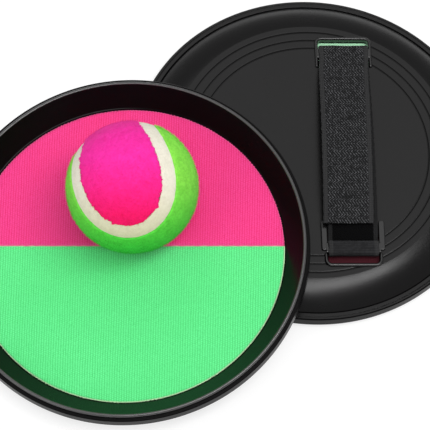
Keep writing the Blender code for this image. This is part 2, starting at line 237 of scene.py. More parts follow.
def bumpFrom(tree, shader, height, distance, strength=1.0):
    made = node(tree, "ShaderNodeBump")
    setSockets(made, {"Distance": distance, "Strength": strength})
    tree.links.new(height, made.inputs["Height"])
    tree.links.new(made.outputs["Normal"], shader.inputs["Normal"])


def objectPlace(tree):
    return node(tree, "ShaderNodeTexCoord").outputs["Object"]


def attributeOf(tree, name):
    return node(tree, "ShaderNodeAttribute", attribute_name=name).outputs["Fac"]


def uvParts(tree, scale):
    # The piece's own flat coordinates, turned back into metres.
    found = node(tree, "ShaderNodeUVMap", uv_map="weave").outputs[0]
    parts = node(tree, "ShaderNodeSeparateXYZ")
    tree.links.new(found, parts.inputs[0])
    return [times(tree, parts.outputs[i], scale) for i in (0, 1)]


def wave(tree, along, pitch):
    # 0 in the furrow, 1 on the crest.
    return ranged(tree, mathNode(tree, "SINE", times(tree, along, 2 * math.pi / pitch)), -1, 1, 0, 1)


# Shells

shellLooks = {
    "colour": (0.0030, 0.0028, 0.0030),
    # the lip's paler colour: a painted highlight along the lip
    "lipPaintedHighlight": (0.034, 0.033, 0.034),
    "worn": (0.0085, 0.0080, 0.0085),
    "wornShare": 0.35,
    "patches": (45, 3),  # scale and detail of the noise
    "grain": (2600, 2),
    "dust": (700, 4, 0.7),
    "dustRange": (0.60, 0.75, 0, 1),
    "parts": {  # roughness from and to, specular level and height of the grain
        "back": ((0.22, 0.28), 0.31, 0.00002),
        "wall": ((0.15, 0.22), 0.09, 0.000005),
        "lip": ((0.24, 0.32), 0.90, 0.000005),
        "edge": ((0.24, 0.32), 0.07, 0.00001),
        "fitting": ((0.17, 0.24), 0.60, 0.000005),
    },
}


def moulded(part):
    # Moulded black plastic: fine grain, faint flow marks and slight dulling in patches. The lip's paler
    # colour is a painted highlight.
    looks = shellLooks
    rough, specular, grain = looks["parts"][part]
    made, tree, shader = newMaterial(f"shell {part} plastic")
    place = objectPlace(tree)
    patches = noiseOf(tree, place, *looks["patches"])
    fine = noiseOf(tree, place, *looks["grain"])
    dusty = ranged(tree, noiseOf(tree, place, *looks["dust"]), *looks["dustRange"])
    # the lip takes the paler colour, a painted highlight
    plain = looks["lipPaintedHighlight" if part == "lip" else "colour"]
    colour = mixColour(tree, times(tree, dusty, looks["wornShare"]), plain, looks["worn"])
    tree.links.new(colour, shader.inputs["Base Color"])
    tree.links.new(ranged(tree, patches, 0.3, 0.7, *rough), shader.inputs["Roughness"])
    setSockets(shader, {"Specular IOR Level": specular})
    bumpFrom(tree, shader, fine, grain)
    return made


plastics = [moulded(part) for part in shellLooks["parts"]]
finishOf = {part: number for number, part in enumerate(shellLooks["parts"])}  # in that list

shell = {  # corners of the half section: radius, height and rounding in mm, face up, back on zero
    "floor": [(0, 3.0, 0), (20, 3.0, 0), (60, 3.0, 0), (77.5, 3.0, 0.15)],
    "wall": [(77.5, 5.1, 0.15), (77.75, 5.45, 0.12), (78.1, 5.6, 0.2)],
    "lipCentre": (87.4, 14.7),
    "lipRadius": 0.9,
    "lipFrom": 138,  # degrees, where the wall meets the lip
    "band": [(88.3, 13.55, 0.35), (89.55, 13.55, 0.35), (90.0, 13.1, 0.35), (90.0, 8.05, 0.3),
             (89.5, 7.5, 0.25)],
    "ledge": [(88.7, 7.5, 0.1), (88.45, 7.95, 0.15), (88.2, 7.5, 0.1), (86.55, 7.5, 0.15),
              (86.2, 8.3, 0.12)],
    "shoulderStart": (85.9, 7.5),
    "shoulderEnd": (70.8, 0.0),
    "bulge": 14.5,  # half the arc's angle, in degrees
    "lipSteps": 14,
    "shoulderSteps": 26,
    "backOuter": 70.7,
    "rings": (67.6, 63.0, 58.5),
    "ringWidth": 2.1,
    "ringDepth": 0.14,
    "ringSteps": 15,
    "ringSide": 5,  # steps down a ring's side that keep the back's finish; the groove's middle takes the low-specular edge plastic as painted shade
    "backInner": (40, 20, 0),
    "arcSteps": 4,
    "around": 288,
}

fittings = {  # strap fittings, in mm
    "offset": -17.7,
    "halfWidth": 12.8,
    "start": {"near": 43.0, "far": 46.7},
    "end": 62.9,
    "corner": 2.0,
    "barInner": 51.9,
    "barOuter": 57.6,
    "barLow": 0.2,
    "barThick": 1.5,
    "barSunk": 0.6,  # into the window's sides
    "cheekFrom": 40.0,
    "cheekTo": 56.0,
    "cheekWide": 3.1,
    "cheekTall": 2.0,
    "cheekCorner": 1.35,
    "rimFrom": {"near": 57.0, "far": 47.0},
    "rimTip": 1.2,
    "rimTipFrom": 0.35,  # radians, where a tip's bead starts
    "rimWide": 1.8,
    "rimTall": 1.1,
    "edge": 0.55,
    "rimEdge": 0.85,
    "slopeFrom": 51.0,  # the cheeks' tops run down from here to their ends
    "slopeDrop": 1.35,
    "slopeShare": 0.75,  # of the easing curve that the slope uses
    "through": (-6.0, 8.0),  # heights between which the window is cut
    "sink": 1.5,
    "overlap": 0.05,
}


straightFrom = 1.55  # half angle in radians from which a corner is left as it is
sideShare = 0.49  # the most of a side that one corner's arc takes


def unitArc(start, end, steps):
    # Points of a round of radius one: (cos a, sin a).
    turns = np.linspace(start, end, steps)
    return np.stack((np.cos(turns), np.sin(turns)), axis=1)


def bothSides(line):
    # A line and its mirror image across the middle, in one run.
    return np.concatenate((line, line[::-1] * (-1, 1)))


def roundedLine(corners, steps):
    # A line of (across, up, radius) corners, each made an arc that is tangent to both sides.
    spots = np.array([c[:2] for c in corners], float)
    found = [spots[0]]
    for i in range(1, len(spots) - 1):
        radius = corners[i][2]
        before, after = spots[i - 1] - spots[i], spots[i + 1] - spots[i]
        toBefore, toAfter = np.linalg.norm(before), np.linalg.norm(after)
        before, after = before / toBefore, after / toAfter
        half = math.acos(np.clip(before @ after, -1, 1)) / 2
        if radius == 0 or half > straightFrom:
            found.append(spots[i])
            continue
        cut = min(radius / math.tan(half), sideShare * toBefore, sideShare * toAfter)
        radius = cut * math.tan(half)
        middle = (before + after) / np.linalg.norm(before + after)
        centre = spots[i] + middle * radius / math.sin(half)
        first, last = spots[i] + before * cut - centre, spots[i] + after * cut - centre
        start = math.atan2(first[1], first[0])
        turn = math.atan2(first[0] * last[1] - first[1] * last[0], first @ last)
        found.extend(centre + radius * unitArc(start, start + turn, steps + 1))
    found.append(spots[-1])
    return np.array(found)


def shoulderArc():
    # The rounded shoulder: an arc through both ends that turns by twice the bulge.
    start, end = np.array(shell["shoulderStart"]), np.array(shell["shoulderEnd"])
    bulge = math.radians(shell["bulge"])
    chord = end - start
    length = np.linalg.norm(chord)
    outward = np.array((-chord[1], chord[0])) / length
    if outward[1] > 0:
        outward = -outward
    radius = length / (2 * math.sin(bulge))
    centre = (start + end) / 2 - outward * radius * math.cos(bulge)
    lean = math.atan2(outward[1], outward[0])
    turns = np.linspace(-bulge, bulge, shell["shoulderSteps"])
    arc = centre + radius * np.stack((np.cos(lean + turns), np.sin(lean + turns)), axis=1)
    return arc if np.linalg.norm(arc[0] - start) < np.linalg.norm(arc[-1] - start) else arc[::-1]


def backLine():
    # The flat back from the shoulder in: each ring is a smooth dip, depth * (1 + cos) / 2.
    found = [(shell["backOuter"], 0.0)]
    for ring in shell["rings"]:
        for share in np.linspace(-1, 1, shell["ringSteps"]):
            across = share * shell["ringWidth"] / 2
            found.append((ring - across, shell["ringDepth"] * (1 + math.cos(math.pi * share)) / 2))
    return found + [(r, 0.0) for r in shell["backInner"]]


def turned(line, count):
    # A half section of (radius, height) turned about z: (r cos a, r sin a, z).
    turns = np.linspace(0, 2 * math.pi, count, endpoint=False)[:, None]
    across, up = line[:, 0], line[:, 1] + 0 * turns
    spots = np.stack((across * np.cos(turns), across * np.sin(turns), up), axis=-1)
    return spots.reshape(-1, 3), gridFaces(count, len(line), wrapRows=True)


def roundRect(halfWide, halfLong, corner, steps=7):
    # A rounded rectangle about zero, anticlockwise: four quarter arcs.
    corner = max(corner, 0.02)  # the four arcs never shrink to points
    found = []
    for quarter, (x, y) in enumerate(((1, 1), (-1, 1), (-1, -1), (1, -1))):
        centre = np.array((x * (halfWide - corner), y * (halfLong - corner)))
        found.append(centre + corner * unitArc(quarter * math.pi / 2, (quarter + 1) * math.pi / 2, steps))
    return np.concatenate(found)


def tube(points, count):
    # Closed rings of count points each, joined by quads and shut by two caps.
    number = np.arange(len(points)).reshape(-1, count)
    return [gridFaces(len(number), count, wrapColumns=True), number[:1], number[-1:, ::-1]]


def stack(rings):
    # Rings of equal counts, each (outline, height), joined into a closed body.
    points = np.concatenate([np.column_stack((o, np.full(len(o), z))) for o, z in rings])
    return points, tube(points, len(rings[0][0]))


def cheek(side):
    # A raised block beside the bar with its top edges rounded, drawn from the sunk foot to the top.
    f = fittings
    halfWide, halfLong = f["cheekWide"] / 2, (f["cheekTo"] - f["cheekFrom"]) / 2
    beside = f["halfWidth"] - f["overlap"] + halfWide
    centre = (side * beside + f["offset"], f["cheekFrom"] + halfLong)
    rings = [(roundRect(halfWide, halfLong, f["cheekCorner"]) + centre, f["sink"])]
    for angle in np.linspace(0, math.pi / 2, 6):
        inset = f["edge"] * (1 - math.cos(angle))
        outline = roundRect(halfWide - inset, halfLong - inset, f["cheekCorner"] - inset) + centre
        rings.append((outline, -f["cheekTall"] + f["edge"] * (1 - math.sin(angle))))
    points, faces = stack(rings)
    run = ease((points[:, 1] - f["slopeFrom"]) / (f["cheekTo"] - f["slopeFrom"]) * f["slopeShare"])
    points[:, 2] += np.where(points[:, 2] < 0, f["slopeDrop"] * run, 0)
    return points, faces


def carried(path, sideways, section, grown):
    # A closed section of (across, up) carried along a flat path: path + sideways * across * grown,
    # and the part above the surface is as much lower.
    across = path[:, None] + sideways[:, None] * (section[None, :, :1] * grown[:, None, None])
    up = np.where(section[:, 1] < 0, section[:, 1] * grown[:, None], section[:, 1])[..., None]
    points = np.concatenate((across, up), axis=-1).reshape(-1, 3)
    return points, tube(points, len(section))


def lowRim(start):
    # The low rim round the window's end: a round-topped bead along a U, with both tips rounded:
    # over the tip's length r the bead grows as sin a, where the way along is r (1 - cos a).
    f = fittings
    half, edge = f["rimWide"] / 2, f["rimEdge"]
    reach = f["halfWidth"] - f["overlap"] + half
    top = f["end"] - f["overlap"] + half
    bend = f["corner"] + half
    arc = unitArc(0, math.pi / 2, 9)
    tips = np.linspace(f["rimTipFrom"], math.pi / 2, 5)
    tip = np.stack((np.full(len(tips), reach), start + f["rimTip"] * (1 - np.cos(tips))), axis=1)
    path = np.concatenate((tip, arc * bend + (reach - bend, top - bend)))
    ways = np.concatenate((np.tile((1.0, 0.0), (len(tips), 1)), arc))
    grown = np.concatenate((np.sin(tips), np.ones(len(arc))))
    bow = np.linspace(0, math.pi / 2, 7)
    side = np.stack((edge * (1 - np.cos(bow)) - half, edge * (1 - np.sin(bow)) - f["rimTall"]), axis=1)
    section = bothSides(np.concatenate(([[-half, f["sink"]]], side)))
    grown = np.concatenate((grown, grown[::-1]))
    return carried(bothSides(path) + (f["offset"], 0), bothSides(ways), section, grown)


def windowTool(start):
    # The opening's outline with its far corners rounded, run right through the back.
    f = fittings
    corner = (f["halfWidth"] - f["corner"], f["end"] - f["corner"])
    bend = unitArc(0, math.pi / 2, 8) * f["corner"] + corner
    outline = bothSides(np.concatenate(([[f["halfWidth"], start]], bend))) + (f["offset"], 0)
    return stack([(outline, height) for height in f["through"]])


def barTool():
    # A bar with full round edges across the opening, its section drawn in y and z.
    f = fittings
    radius = f["barThick"] / 2
    arc = unitArc(-math.pi / 2, math.pi / 2, 9) * radius
    level = -(f["barLow"] + radius)
    outer, inner = arc + (f["barOuter"] - radius, level), -arc + (f["barInner"] + radius, level)
    outline = np.concatenate((outer, inner))
    half = f["halfWidth"] + f["barSunk"]
    points, faces = stack([(outline, -half), (outline, half)])
    return points[:, [2, 0, 1]] + (f["offset"], 0, 0), faces


def dress(mesh, finish):
    # All the shell's plastics, and for each face its number in their list.
    for plastic in plastics:
        mesh.materials.append(plastic)
    mesh.polygons.foreach_set("material_index", np.asarray(finish, np.int32))


def helperSolid(shape, near, finish):
    # A solid that a boolean adds or cuts, at the near end of the strap or at the far one.
    points, faces = shape
    mesh = tidyMesh(makeMesh("fitting", points * (1, -1 if near else 1, 1) * mm, faces))
    dress(mesh, np.full(len(mesh.polygons), finishOf[finish]))
    made = makeObject("fitting", mesh)
    made.hide_render = True
    return made


def shellProfile():
    # The half section from the floor's middle round the rim to the back's middle, in mm, and the
    # plastic of each of its stretches.
    s = shell
    lip = np.array(s["lipCentre"]) + s["lipRadius"] * unitArc(math.radians(s["lipFrom"]), 0, s["lipSteps"])
    inside = roundedLine(s["floor"] + s["wall"] + [(*lip[0], 0)], s["arcSteps"])[:-1]
    corners = [(*lip[-1], 0)] + s["band"] + s["ledge"] + [(*s["shoulderStart"], 0)]
    outside = roundedLine(corners, s["arcSteps"])
    line = np.concatenate((inside, lip, outside[1:-1], shoulderArc(), backLine()))
    finish = np.full(len(line) - 1, finishOf["back"])
    edge = len(inside) + len(lip) - 1
    finish[: len(inside)] = finishOf["wall"]
    finish[len(inside) : edge] = finishOf["lip"]
    finish[edge : edge + len(outside) - 1] = finishOf["edge"]
    perCorner = s["arcSteps"] + 1
    ledge = edge + len(s["band"]) * perCorner
    finish[ledge : ledge + (len(s["ledge"]) - 1) * perCorner] = finishOf["back"]  # to the groove
    # The middle of each ring's groove takes the low-specular edge plastic: painted shade in the groove.
    firstRing = len(line) - len(backLine()) + 1
    for start in firstRing + s["ringSteps"] * np.arange(len(s["rings"])):
        finish[start + s["ringSide"] : start + s["ringSteps"] - s["ringSide"] - 1] = finishOf["edge"]
    return line, finish


def fittingTools():
    # Each tool as operation, shape, whether it stands at the near end, and plastic.
    starts, rims = fittings["start"], fittings["rimFrom"]
    tools = [("DIFFERENCE", windowTool(starts["far"]), False, "edge"),
             ("DIFFERENCE", windowTool(starts["near"]), True, "edge")]
    for shape in (cheek(-1), cheek(1), lowRim(rims["near"]), barTool()):
        tools.append(("UNION", shape, True, "fitting"))
    for shape in (lowRim(rims["far"]), barTool()):
        tools.append(("UNION", shape, False, "fitting"))
    return tools


def makeShell(group):
    # The section turned about z, its windows cut and its fittings joined on, laid in the room.
    name = group + "_shell_looks"
    line, finish = shellProfile()
    points, faces = turned(line * mm, shell["around"])
    mesh = makeMesh(name, points, [faces])
    dress(mesh, np.tile(finish, shell["around"]))
    body = makeObject(name, tidyMesh(mesh))
    helpers = []
    for kind, shape, near, plastic in fittingTools():
        helpers.append(helperSolid(shape, near, plastic))
        step = body.modifiers.new(helpers[-1].name, "BOOLEAN")
        step.operation, step.object, step.solver = kind, helpers[-1], "EXACT"
    applied(body)
    for helper in helpers:
        bpy.data.objects.remove(helper, do_unlink=True)
    spots = np.empty(len(body.data.vertices) * 3, np.float32)
    body.data.vertices.foreach_get("co", spots)
    placed = onto(spots.reshape(-1, 3).astype(float), group)
    body.data.vertices.foreach_set("co", placed.astype(np.float32).ravel())
    tidyMesh(body.data, sharp=38, merge=2e-7)
    body.modifiers.new("even", "WEIGHTED_NORMAL").keep_sharp = True
    applied(body)
    settle(body, group + "_shell")
    print("stage:", body.name, len(body.data.polygons), "faces")


# Pads

padLooks = {  # the colours are the body, painted shade between the loops, the cut edge, and the backing with painted light and shade
    "pink": ((1.0, 0.086, 0.358), (0.84, 0.020, 0.165), (0.97, 0.16, 0.38), (0.060, 0.007, 0.013)),
    "green": ((0.176, 0.94, 0.352), (0.070, 0.67, 0.175), (0.86, 0.94, 0.66), (0.54, 1.0, 0.64)),
    "ribPitch": 0.00121,
    "ribShare": 0.26,
    "loopPitch": 0.00098,
    "loopShare": 0.60,
    "loopRange": (0.50, 1.42, 0, 1),
    "sway": 0.0005,
    "swayNoise": (160, 1),
    "fleckShare": 1.35,
    "fleckNoise": (1500, 4, 0.65),
    "broadNoise": (35, 2),
    "broadRange": (0.35, 0.65, 0.86, 1.0),
    "edgeShare": 0.65,
    "relief": (0.0002, 0.45),  # distance and strength
    "sockets": {"Roughness": 0.88, "Specular IOR Level": 0.2, "Sheen Weight": 0.12, "Sheen Roughness": 0.5},
    "uvSize": 0.160,
}

pad = {
    "radius": 0.0772,
    "low": 0.0033,
    "top": 0.0053,
    "split": 0.0043,
    "gap": 0.00015,
    "columns": 820,
    "rows": 56,
    "ribHeight": 0.000045,
    "edgeDrop": 0.0006,
    "edgeWidth": 0.0009,
    "sideDrop": 0.0010,  # where the cut side starts, below the top
    "cutGrowth": 1.6,  # how fast the cut edge's colour takes over
    "fray": (0.0012, 0.0016),  # share of the radius, and wavelength
    "frayMost": 1.0025,
    "frayWidth": 0.0002,
    "wander": (0.00004, 0.006, 21),  # of the split line
    "wanderFrom": 0.004,
    "lumps": ((0.00005, 0.011, 8), (0.00003, 0.003, 9)),
}


def hookFabric(name, colours):
    # Upright ribs of small loops: a rib wave across, a loop wave along that steps by half a pitch
    # from rib to rib, each loop a little different, painted shade between the loops, and a pale cut edge.
    body, shadeBetween, pale, backingPaintedLight = colours
    w = padLooks
    made, tree, shader = newMaterial(name)
    across, along = uvParts(tree, w["uvSize"])
    place = objectPlace(tree)
    across = plus(tree, across, times(tree, noiseOf(tree, place, *w["swayNoise"]), w["sway"]))
    rib = wave(tree, across, w["ribPitch"])
    number = mathNode(tree, "FLOOR", mathNode(tree, "DIVIDE", across, w["ribPitch"]))
    shift = times(tree, mathNode(tree, "FRACT", times(tree, number, 0.5)), w["loopPitch"])
    loops = times(tree, rib, wave(tree, plus(tree, along, shift), w["loopPitch"]))
    fleck = noiseOf(tree, place, *w["fleckNoise"])
    height = plus(tree, times(tree, rib, w["ribShare"]), times(tree, loops, w["loopShare"]))
    height = plus(tree, height, times(tree, fleck, w["fleckShare"]))
    share = ranged(tree, height, *w["loopRange"])
    broad = ranged(tree, noiseOf(tree, place, *w["broadNoise"]), *w["broadRange"])
    # the loops fade to painted shade between them
    colour = mixColour(tree, times(tree, share, broad), shadeBetween, body)
    edge = times(tree, attributeOf(tree, "cutEdge"), w["edgeShare"])
    # the underside takes the backing colour, which is painted light: near black on the pink for the shade in
    # the near slot, pale on the green for the lit far slot
    colour = mixColour(tree, attributeOf(tree, "backingPaintedLight"), mixColour(tree, edge, colour, pale), backingPaintedLight)
    tree.links.new(colour, shader.inputs["Base Color"])
    setSockets(shader, w["sockets"])
    bumpFrom(tree, shader, height, *w["relief"])
    return made


padFabric = {name: hookFabric(name + " hook fabric", padLooks[name]) for name in ("pink", "green")}


def padGrid(edge, upper):
    # Half a round: x = R sin a, and y runs from the split to the edge. The top carries ribs,
    # z = top + rib * cos(2 pi x / pitch) / 2, and rolls down at the cut edges. It gives the points
    # column by column and how far each point of the top is rolled down.
    p = pad
    radius = p["radius"]
    reach = math.acos(edge / radius) if upper else math.pi / 2
    angle = np.linspace(-reach, reach, p["columns"])
    share, wavelength = p["fray"]
    fray = 1 + share * softNoise(angle[:, None] * radius, wavelength, 3 if upper else 4)
    fray = np.minimum(fray, p["frayMost"])
    x, arc = radius * np.sin(angle), radius * np.cos(angle)
    line = np.full_like(x, edge) if upper else np.minimum(edge, arc)
    far = arc if upper else -arc
    share = (1 - np.cos(np.linspace(0, math.pi, p["rows"]))) / 2
    wander = lumps(x[:, None], p["wander"]) * (np.abs(far - line) > p["wanderFrom"])
    y = line[:, None] + (far - line)[:, None] * share + wander[:, None] * (1 - share)
    x = np.repeat(x[:, None], p["rows"], axis=1)
    room = radius - np.hypot(x, y)
    fall = 1 - ease(np.minimum(room, np.abs(y - edge)) / p["edgeWidth"])
    grow = np.where(room < p["frayWidth"], fray[:, None], 1.0)
    ribs = np.cos(2 * math.pi * x / padLooks["ribPitch"]) * p["ribHeight"] / 2
    z = p["top"] + ribs * (1 - fall) + lumps(np.stack((x, y), axis=-1), *p["lumps"]) - p["edgeDrop"] * fall
    ends = [-1, 0]
    flat = np.full((len(x), 2), 1.0)
    low = np.stack((x[:, ends], y[:, ends], p["low"] * flat), axis=-1)
    sides = (x * grow)[:, ends], (y * grow)[:, ends], (p["top"] - p["sideDrop"]) * flat
    sides = np.stack(sides, axis=-1)
    top = np.stack((x * grow, y * grow, z), axis=-1)
    return np.concatenate((top, sides[:, :1], low, sides[:, 1:]), axis=1), fall


def makePad(group, colour, upper, split):
    # The grid closed round its columns, with the cut edge and the underside marked for the fabric.
    name = f"{group}_{colour}_pad_looks"
    edge = split + pad["gap"] if upper else split - pad["gap"]
    grid, fall = padGrid(edge, upper)
    columns, count = grid.shape[:2]
    points = grid.reshape(-1, 3)
    uv = points[:, :2] / padLooks["uvSize"] + 0.5
    mesh = makeMesh(name, onto(points, group), [gridFaces(columns, count, wrapColumns=True)], uv)
    cut = ease(1 - pad["cutGrowth"] * (1 - fall))
    pointValues(mesh, "cutEdge", np.concatenate((cut, np.ones((columns, 4))), axis=1))
    under = np.zeros((columns, count))
    under[:, -3:-1] = 1  # the two points of the underside
    pointValues(mesh, "backingPaintedLight", under)
    tidyMesh(mesh, sharp=75, merge=1e-7)
    mesh.materials.append(padFabric[colour])
    made = settle(makeObject(name, mesh), f"{group}_{colour}_pad")
    print("stage:", name, len(mesh.polygons), "faces")


# Straps

strapLooks = {
    "dark": (0.0035, 0.0035, 0.004),
    "yarn": (0.106, 0.107, 0.113),
    "plainYarn": (0.024, 0.024, 0.026),
    "pile": (0.0024, 0.0024, 0.0026),
    "selvage": (0.036, 0.036, 0.037),
    "columnPitch": 0.00145,
    "columnRange": (0.45, 0.92, 0, 1),
    "zigzag": 0.0044,
    "longLeg": 0.64,  # share of the period in which a column swings one way
    "swing": -0.0021,
    "jitter": 0.0006,
    "jitterNoise": (420, 2),
    "pick": 0.00093,
    "cord": 0.0008,
    "dashPicks": 1.4,
    "dashRange": (0.10, 0.60, 0.45, 1),
    "late": 0.0016,
    "lateNoise": (260, 1),
    "loudNoise": (620, 2, 0.6),
    "loudRange": (0.36, 0.60, 0.12, 1),
    "selvageWidth": 0.0023,
    "selvageBlur": 0.0002,
    "selvageRange": (0, 1, 0.3, 1),
    "selvageInside": 0.45,  # how much of it shows on the inner face
    "plainLength": 0.0125,  # at the tail, round the near bar
    "plainBlur": 0.0001,
    "plainRange": (0, 1, 0.25, 1),
    "flatHeight": 0.4,
    "specular": (0.2, 0.04),  # outer face and inner face
    "relief": (0.0003, 0.7),
    "sockets": {"Roughness": 0.78, "Sheen Weight": 0.02},
    "uvSize": 0.30,
}

strap = {
    "width": 0.0250,
    "thick": 0.0012,
    "offset": -0.0177,
    "fit": 0.0003,
    "barLow": 0.0002,
    "barTop": 0.0017,
    "barInner": 0.0519,
    "barOuter": 0.0576,
    "windowStart": 0.0430,
    "archPlaces": (-0.84, -0.50, 0.0, 0.45, 0.80, 0.90),
    "archRises": (0.20, 0.72, 1.0, 0.76, 0.24, 0.10),
    "layer": 0.0026,
    "drift": 0.0024,
    "steps": 16,
    "acrossSteps": 44,
    "spacing": 0.0006,
    "crown": 0.10,
    "lift": (0.00006, 0.009, 31),
    "wander": (0.00008, 0.004, 32),
    "fray": {"size": 0.00022, "wavelength": 0.0011, "seed": 33},
    "gap": {"back": 0.0063, "front": 0.0020},
}

hook = {
    "width": 0.0210,
    "length": 0.0380,
    "thick": 0.0008,
    "setback": 0.0015,
    "steps": 60,
    "ground": (0.006, 0.006, 0.007),
    "tips": (0.035, 0.035, 0.038),
    "dots": 900,
    "rough": 0.6,
    "relief": 0.0003,
}


def webbing():
    # Zigzag ribs on the outer face: columns that swing one way over a long leg and back over a
    # short one, cut into dashes that vary in brightness. The tail is plain, the inner face is a
    # dark pile of loops, and a plain selvage runs down each edge.
    w = strapLooks
    made, tree, shader = newMaterial("strap webbing")
    across, along = uvParts(tree, w["uvSize"])
    place = objectPlace(tree)
    leg = mathNode(tree, "FRACT", mathNode(tree, "DIVIDE", along, w["zigzag"]))
    outward = mathNode(tree, "DIVIDE", leg, w["longLeg"])
    homeward = mathNode(tree, "DIVIDE", mathNode(tree, "SUBTRACT", 1.0, leg), 1 - w["longLeg"])
    swing = times(tree, mathNode(tree, "MINIMUM", outward, homeward), w["swing"])
    jitter = times(tree, noiseOf(tree, place, *w["jitterNoise"]), w["jitter"])
    column = wave(tree, plus(tree, plus(tree, across, swing), jitter), w["columnPitch"])
    late = times(tree, noiseOf(tree, place, *w["lateNoise"]), w["late"])
    dash = wave(tree, plus(tree, along, late), w["pick"] * w["dashPicks"])
    loud = ranged(tree, noiseOf(tree, place, *w["loudNoise"]), *w["loudRange"])
    rib = times(tree, ranged(tree, column, *w["columnRange"]), ranged(tree, dash, *w["dashRange"]))
    side = mathNode(tree, "PINGPONG", across, strap["width"])
    fromEdge = mathNode(tree, "MINIMUM", side, mathNode(tree, "SUBTRACT", strap["width"], side))
    edge = below(tree, fromEdge, w["selvageWidth"], w["selvageBlur"])
    tail = below(tree, along, w["plainLength"], w["plainBlur"])
    cords, picks = wave(tree, across, w["cord"]), wave(tree, along, w["pick"])
    flat = times(tree, plus(tree, cords, picks), 0.5)
    ribbed = mixColour(tree, times(tree, rib, loud), w["dark"], w["yarn"])
    plain = ranged(tree, times(tree, picks, loud), *w["plainRange"])
    colour = mixColour(tree, tail, ribbed, mixColour(tree, plain, w["dark"], w["plainYarn"]))
    border = mixColour(tree, ranged(tree, flat, *w["selvageRange"]), w["dark"], w["selvage"])
    colour = mixColour(tree, edge, colour, border)
    outside = mathNode(tree, "SUBTRACT", 1.0, times(tree, edge, w["selvageInside"]))
    within = times(tree, attributeOf(tree, "innerFace"), outside)
    tree.links.new(mixColour(tree, within, colour, w["pile"]), shader.inputs["Base Color"])
    tree.links.new(ranged(tree, within, 0, 1, *w["specular"]), shader.inputs["Specular IOR Level"])
    setSockets(shader, w["sockets"])
    level = times(tree, flat, w["flatHeight"])
    height = mixNumber(tree, mathNode(tree, "MAXIMUM", edge, tail), rib, level)
    bumpFrom(tree, shader, height, *w["relief"])
    return made


def hookTape():
    # Rows of small stiff hooks on a woven ground.
    made, tree, shader = newMaterial("hook tape")
    cells = node(tree, "ShaderNodeTexVoronoi")
    setSockets(cells, {"Scale": hook["dots"]})
    tree.links.new(objectPlace(tree), cells.inputs["Vector"])
    dots = ranged(tree, cells.outputs["Distance"], 0.1, 0.5, 1, 0)
    tree.links.new(mixColour(tree, dots, hook["ground"], hook["tips"]), shader.inputs["Base Color"])
    setSockets(shader, {"Roughness": hook["rough"]})
    bumpFrom(tree, shader, dots, hook["relief"])
    return made


strapWebbing, tapeFinish = webbing(), hookTape()


def smoothRoute(points, steps):
    # A Catmull-Rom curve through the points.
    held = np.array([points[0], *points, points[-1]], float)
    t = np.linspace(0, 1, steps, endpoint=False)[:, None]
    found = []
    for i in range(1, len(held) - 2):
        before, start, end, after = held[i - 1 : i + 3]
        second = before - 2.5 * start + 2 * end - 0.5 * after
        third = 1.5 * (start - end) + 0.5 * (after - before)
        found.append(start + 0.5 * t * (end - before) + t**2 * second + t**3 * third)
    return np.concatenate((*found, held[-1:]))


def wrapped():
    # Half a turn round the far bar's outer edge, from under it to over it.
    s = strap
    over = s["barTop"] + s["fit"] + s["thick"] / 2
    under = s["barLow"] - s["fit"] - s["thick"] / 2
    middle = (s["barOuter"] - (s["barTop"] - s["barLow"]) / 2, (over + under) / 2)
    bend = unitArc(-math.pi / 2, math.pi / 2, 33) * (over - under) / 2 + middle
    return np.concatenate(([[s["barInner"], under]], bend, [[s["barInner"], over]]))


def strapLayers(gap):
    # (y, height off the back) of the lower layer, from under the near bar over the hand room to
    # under the far bar, and of the upper one, from over the far bar back to the free end.
    s = strap
    rises = s["thick"] / 2 + gap * np.array(s["archRises"])
    arch = np.stack((s["barInner"] * np.array(s["archPlaces"]), rises), axis=1)
    far, near = wrapped(), wrapped() * (-1, 1)
    lower = smoothRoute(np.concatenate((near[1::-1], arch, far[:2])), s["steps"])
    raised = np.concatenate((arch[::-1], near[:1])) + (0, s["layer"])
    upper = smoothRoute(np.concatenate((far[-2:], raised)), s["steps"])
    end = (-s["windowStart"], np.interp(s["windowStart"], -upper[:, 0], upper[:, 1]))
    return lower, np.concatenate((upper[upper[:, 0] > end[0]], [end]))


def strapRoute(gap):
    # The whole strap as (y, height, drift): the tail on the near bar, down round the bar's outer
    # edge and under it, the lower layer, round the far bar, and the upper layer, which drifts aside.
    lower, upper = strapLayers(gap)
    steps = strap["steps"]
    near, far = wrapped()[:0:-1] * (-1, 1), wrapped()[1:]
    route = np.concatenate((near, lower[steps:-steps], far, upper[steps + 1 :]))
    drift = np.zeros(len(route))
    returning = len(upper) - steps
    drift[-returning:] = strap["drift"] * np.linspace(0, 1, returning)
    return np.column_stack((route, drift)), lower


def evenly(route, spacing):
    # The route's points set at even distances along it.
    run = np.concatenate(([0], np.cumsum(np.linalg.norm(np.diff(route, axis=0), axis=1))))
    at = np.linspace(0, run[-1], int(run[-1] / spacing) + 1)
    return np.stack([np.interp(at, run, column) for column in route.T], axis=1), at


def ribbonSection(width, thick):
    # A rounded strip, slightly fuller in the middle, as a closed line of (across, up).
    half, tall = width / 2, thick / 2
    bow = unitArc(-math.pi / 2, math.pi / 2, 7)[1:-1]
    edge = bow * tall + (half - tall, 0)
    flat = np.linspace(-half + tall, half - tall, strap["acrossSteps"])
    crown = tall * (1 - strap["crown"] * (1 - np.abs(flat / half) ** 6))
    return np.concatenate((np.stack((flat, -crown), 1), edge, np.stack((flat[::-1], crown), 1), -edge))


